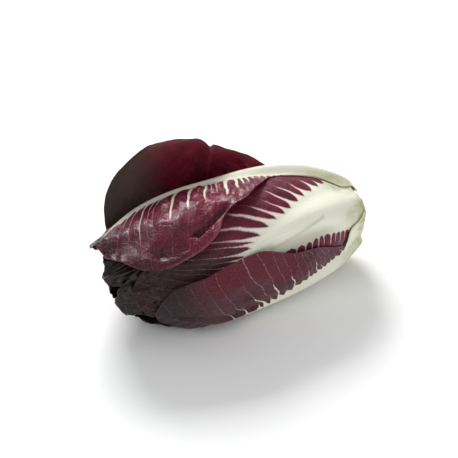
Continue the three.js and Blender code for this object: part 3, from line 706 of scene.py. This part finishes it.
# The middle leaf's bloom colour, from 55 mm on, is partly wax bloom and partly painted sheen.
fan_leaf = leaf_tissue("fan ribbed burgundy leaf", "640A26", "42061A", "2A1518", (112, 160), "6E3844", 0.35,
                       (0.28, 0.45), "2E1C1C", 0.8, streak=0.6, bloom_and_sheen_from=(55, 105), depth=0.1, soft=0.04,
                       fringe="C49AA0", rim="4A3034", rim_share=0.2, net_share=0.05, sheen=0.3)
bloom_leaf = leaf_tissue("leaf with wax bloom", "4A1020", "300A14", "261A1E", (118, 172), "5A3640", 0.75,
                         (0.42, 0.6), "58081E", 0.85, fringe="D0A8AC", depth=0.02, sheen=0.28, rim="6A3A44",
                         rim_share=0.2, net_share=0.06)
dark_inner_leaf = leaf_tissue("dark maroon leaf", "800E2A", "500A1C", "34221E", (118, 172), "5A2426", 0.3,
                              (0.45, 0.6), "564E46", 0.75, flesh="B88088", fringe="9A4A5A", rim="5A4442",
                              depth=0.02)
# Painted shade: leaves deep in the hollow and at the tip end are coloured near black, their white ribs too.
shaded_dark_leaf = leaf_tissue("dark leaves in painted shade", "42202A", "2A1216", "241A1A", (90, 140), "4A3A40", 0.5,
                       (0.24, 0.42), "141012", flesh="5C4646", fringe="3C2A2C", rim="3A3436", net_share=0.03,
                       streak=0.4)

MATERIALS = {
    "top_leaf": (glossy_leaf, "burgundy_leaf"),
    "middle_leaf": (fan_leaf, "burgundy_leaf"),
    "front_leaf": (bloom_leaf, "mauve_leaf"),
    "back_leaf": (dark_inner_leaf, "dark_leaf"),
    "under_leaf": (shaded_dark_leaf, "dark_leaf"),
}
GRIDS = {"top_leaf": (250, 120), "middle_leaf": (250, 120), "front_leaf": (240, 120), "back_leaf": (220, 110),
         "under_leaf": (130, 70)}

# Leaves not listed, the inner ones, take the near black leaf of painted shade.
for leaf_name, one_leaf in LEAVES.items():
    grid_rows, grid_columns = GRIDS.get(leaf_name, (150, 80))
    leaf_material, leaf_slot = MATERIALS.get(leaf_name, (shaded_dark_leaf, "dark_leaf"))
    leaf_mesh = make_leaf_mesh(leaf_name + "_skin", one_leaf, grid_rows, grid_columns)
    show(leaf_name, leaf_mesh, leaf_material, leaf_slot, leaf_name + "_blade", leaf_name + "_rib")

# The heart: folded young leaves round a core, all hidden inside the head but for glimpses, and dark with
# painted shade.
HEART_DEPTH = 14.5
HEART_FROM = 48
HEART_LONG = 124


def round_mesh(name, point_at, rings, sides):
    """A closed round mesh: a sphere whose share from end to end and turn are carried to point_at's place."""
    bm = bmesh.new()
    bmesh.ops.create_uvsphere(bm, u_segments=sides, v_segments=rings, radius=1)
    for vert in bm.verts:
        share = math.acos(max(-1.0, min(1.0, -vert.co.z))) / math.pi
        turn = math.degrees(math.atan2(vert.co.y, vert.co.x))
        on_end = math.hypot(vert.co.x, vert.co.y) < 0.001
        vert.co = Vector(point_at(share, turn, on_end))
    mesh = bpy.data.meshes.new(name)
    bm.to_mesh(mesh)
    bm.free()
    return mesh


def heart_point(share, turn, on_end):
    along = HEART_FROM + HEART_LONG * share
    wide = (outline(along) - 17) * math.sqrt(math.sin(math.pi * (0.12 + 0.84 * share)))
    pleat = 1 + 0.04 * math.sin(math.radians(5 * turn) + 0.08 * along)
    return head_point(along, turn, 0.0 if on_end else wide * pleat, FLOOR + 10)


heart_core = round_mesh("heart_core_skin", heart_point, 40, 48)
show("heart_core", heart_core, shaded_dark_leaf, "dark_leaf", "heart")
for number in range(5):
    turned = 116 + 72 * number
    young = leaf(start=50, length=176 + 4 * (number % 3), round=0.25, ramp=1, lowest=FLOOR + 9.5,
                 rib_lowest=FLOOR + 9.2,
                 angle=[[0, turned], [200, turned + 8]], depth=[[0, HEART_DEPTH + 1], [200, HEART_DEPTH + 1]],
                 low=[[0, 30], [60, 44], [190, 34]], high=[[0, 30], [60, 44], [190, 34]],
                 rib_height=[[0, 0.8], [200, 0.7]], rib_width=[[0, 5], [120, 3], [185, 0.7]],
                 seed=131 + 9 * number, blister=0.3, veins_low=even_veins(60, 170, 12, 0.8, 20, 101 + number),
                 veins_high=even_veins(60, 170, 12, 0.8, 20, 111 + number),
                 extra=tip_crumple(121 + number, 1.0))
    young_mesh = make_leaf_mesh(f"heart_leaf_{number + 1}_skin", young, 90, 50)
    show(f"heart_leaf_{number + 1}", young_mesh, shaded_dark_leaf, "dark_leaf", "heart")

# The stem is the short root end that the leaves grow from, cut across and browned by the air.
CUT_RADIUS = 9.8
STEM_LONG = 44.0
STEM_END_RADIUS = 14.0
CUT_SHARE = 0.2
CLOSED_SHARE = 0.875
STEM_RINGS = curve([[0, CUT_RADIUS], [1.5, 11.2], [3.5, 12], [8, 14], [14, 14.5], [30, 18], [40, 19],
                    [STEM_LONG, STEM_END_RADIUS]])


def stem_point(share, turn, on_end):
    # The first fifth is the flat cut face, and the last eighth closes the inner end.
    if share < CUT_SHARE:
        along, wide = 0.0, CUT_RADIUS * share / CUT_SHARE
    elif share > CLOSED_SHARE:
        along, wide = STEM_LONG, STEM_END_RADIUS * (1 - share) / (1 - CLOSED_SHARE)
    else:
        along = STEM_LONG * (share - CUT_SHARE) / (CLOSED_SHARE - CUT_SHARE)
        wide = float(STEM_RINGS(along))
    lump = 1 + 0.03 * math.sin(math.radians(7 * turn)) + 0.02 * math.sin(math.radians(11 * turn) + 1)
    return head_point(along, turn, 0.0 if on_end else wide * lump, FLOOR)


def cut_stem():
    """Root end: firm white flesh, browned and ringed on the cut face, with rusty bruises."""
    material = bpy.data.materials.new("browned root end")
    material.use_nodes = True
    tree = material.node_tree
    shader = tree.nodes["Principled BSDF"]
    where = put(tree, "ShaderNodeTexCoord").outputs["Object"]
    bruise = put(tree, "ShaderNodeTexNoise", {"Vector": where, "Scale": 150.0, "Detail": 5.0}).outputs["Fac"]
    flesh = ramp(tree, bruise, [(0.35, tint("8A6A42")), (0.5, tint("B49C72")), (0.68, tint("D8D0B4"))])
    parts = put(tree, "ShaderNodeSeparateXYZ", {0: where})
    cut_from = float(head_point(0.9, 0.0, 10.0, 0.0)[0])
    cut_to = float(head_point(0.2, 0.0, 10.0, 0.0)[0])
    on_cut = put(tree, "ShaderNodeMapRange", {"Value": parts.outputs["X"], "From Min": cut_from,
                 "From Max": cut_to}).outputs[0]
    cut = ramp(tree, bruise, [(0.3, tint("6E4A28")), (0.7, tint("A58458"))])
    colour = blend(tree, on_cut, flesh, cut)
    tree.links.new(colour, shader.inputs["Base Color"])
    shader.inputs["Roughness"].default_value = 0.6
    relief = put(tree, "ShaderNodeBump", {"Height": bruise, "Strength": 0.5,
                 "Distance": 0.0006}).outputs["Normal"]
    tree.links.new(relief, shader.inputs["Normal"])
    return material


stem_mesh = round_mesh("stem_skin", stem_point, 60, 64)
show("stem_end", stem_mesh, cut_stem(), "white_rib", "stem")

# Studio

floor_paint = bpy.data.materials.new("pale studio floor")
floor_paint.use_nodes = True
floor_shader = floor_paint.node_tree.nodes["Principled BSDF"]
floor_shader.inputs["Base Color"].default_value = tint("FAFAF9")
floor_shader.inputs["Roughness"].default_value = 0.8
floor_bm = bmesh.new()
bmesh.ops.create_grid(floor_bm, x_segments=1, y_segments=1, size=3.0)
floor_mesh = bpy.data.meshes.new("studio_floor")
floor_bm.to_mesh(floor_mesh)
floor_bm.free()
floor_mesh.materials.append(floor_paint)
floor_piece = bpy.data.objects.new("studio_floor", floor_mesh)
bpy.context.scene.collection.objects.link(floor_piece)

world = bpy.data.worlds.new("soft studio")
bpy.context.scene.world = world
world.use_nodes = True
world.node_tree.nodes["Background"].inputs["Color"].default_value = tint("F6F7FA")
world.node_tree.nodes["Background"].inputs["Strength"].default_value = 0.49


def softbox(name, place, aim, width, power):
    lamp = bpy.data.lights.new(name, "AREA")
    lamp.shape = "RECTANGLE"
    lamp.size = width[0]
    lamp.size_y = width[1]
    lamp.energy = power
    holder = bpy.data.objects.new(name, lamp)
    bpy.context.scene.collection.objects.link(holder)
    holder.location = place
    holder.rotation_euler = (Vector(aim) - Vector(place)).to_track_quat("-Z", "Y").to_euler()
    return holder


softbox("back softbox", (0.15, 0.9, 0.85), (0, 0, 0.04), (0.6, 0.4), 16)
softbox("left softbox", (-1.0, -0.2, 0.95), (0, 0, 0.05), (0.4, 0.4), 2.5)
softbox("front softbox", (0.75, -1.1, 0.6), (0, 0, 0.05), (1.8, 1.4), 7.5)

# The camera looks from 28 degrees left of the front and 38 degrees up, 0.9 m away.
CAMERA_AIM = Vector((-0.53, 3.295, 49.56)) * MM
CAMERA_TURN = math.radians(-28)
CAMERA_RISE = math.radians(38)
CAMERA_AWAY = 0.9
CAMERA_LENS = 102.9
camera_data = bpy.data.cameras.new("camera")
camera_data.lens = CAMERA_LENS
camera_data.sensor_width = 36
camera = bpy.data.objects.new("camera", camera_data)
bpy.context.scene.collection.objects.link(camera)
camera_way = Vector((math.sin(CAMERA_TURN) * math.cos(CAMERA_RISE),
                     -math.cos(CAMERA_TURN) * math.cos(CAMERA_RISE), math.sin(CAMERA_RISE)))
camera.location = CAMERA_AIM + CAMERA_AWAY * camera_way
camera.rotation_euler = (-camera_way).to_track_quat("-Z", "Y").to_euler()
bpy.context.scene.camera = camera
bpy.context.scene.view_settings.view_transform = "Standard"
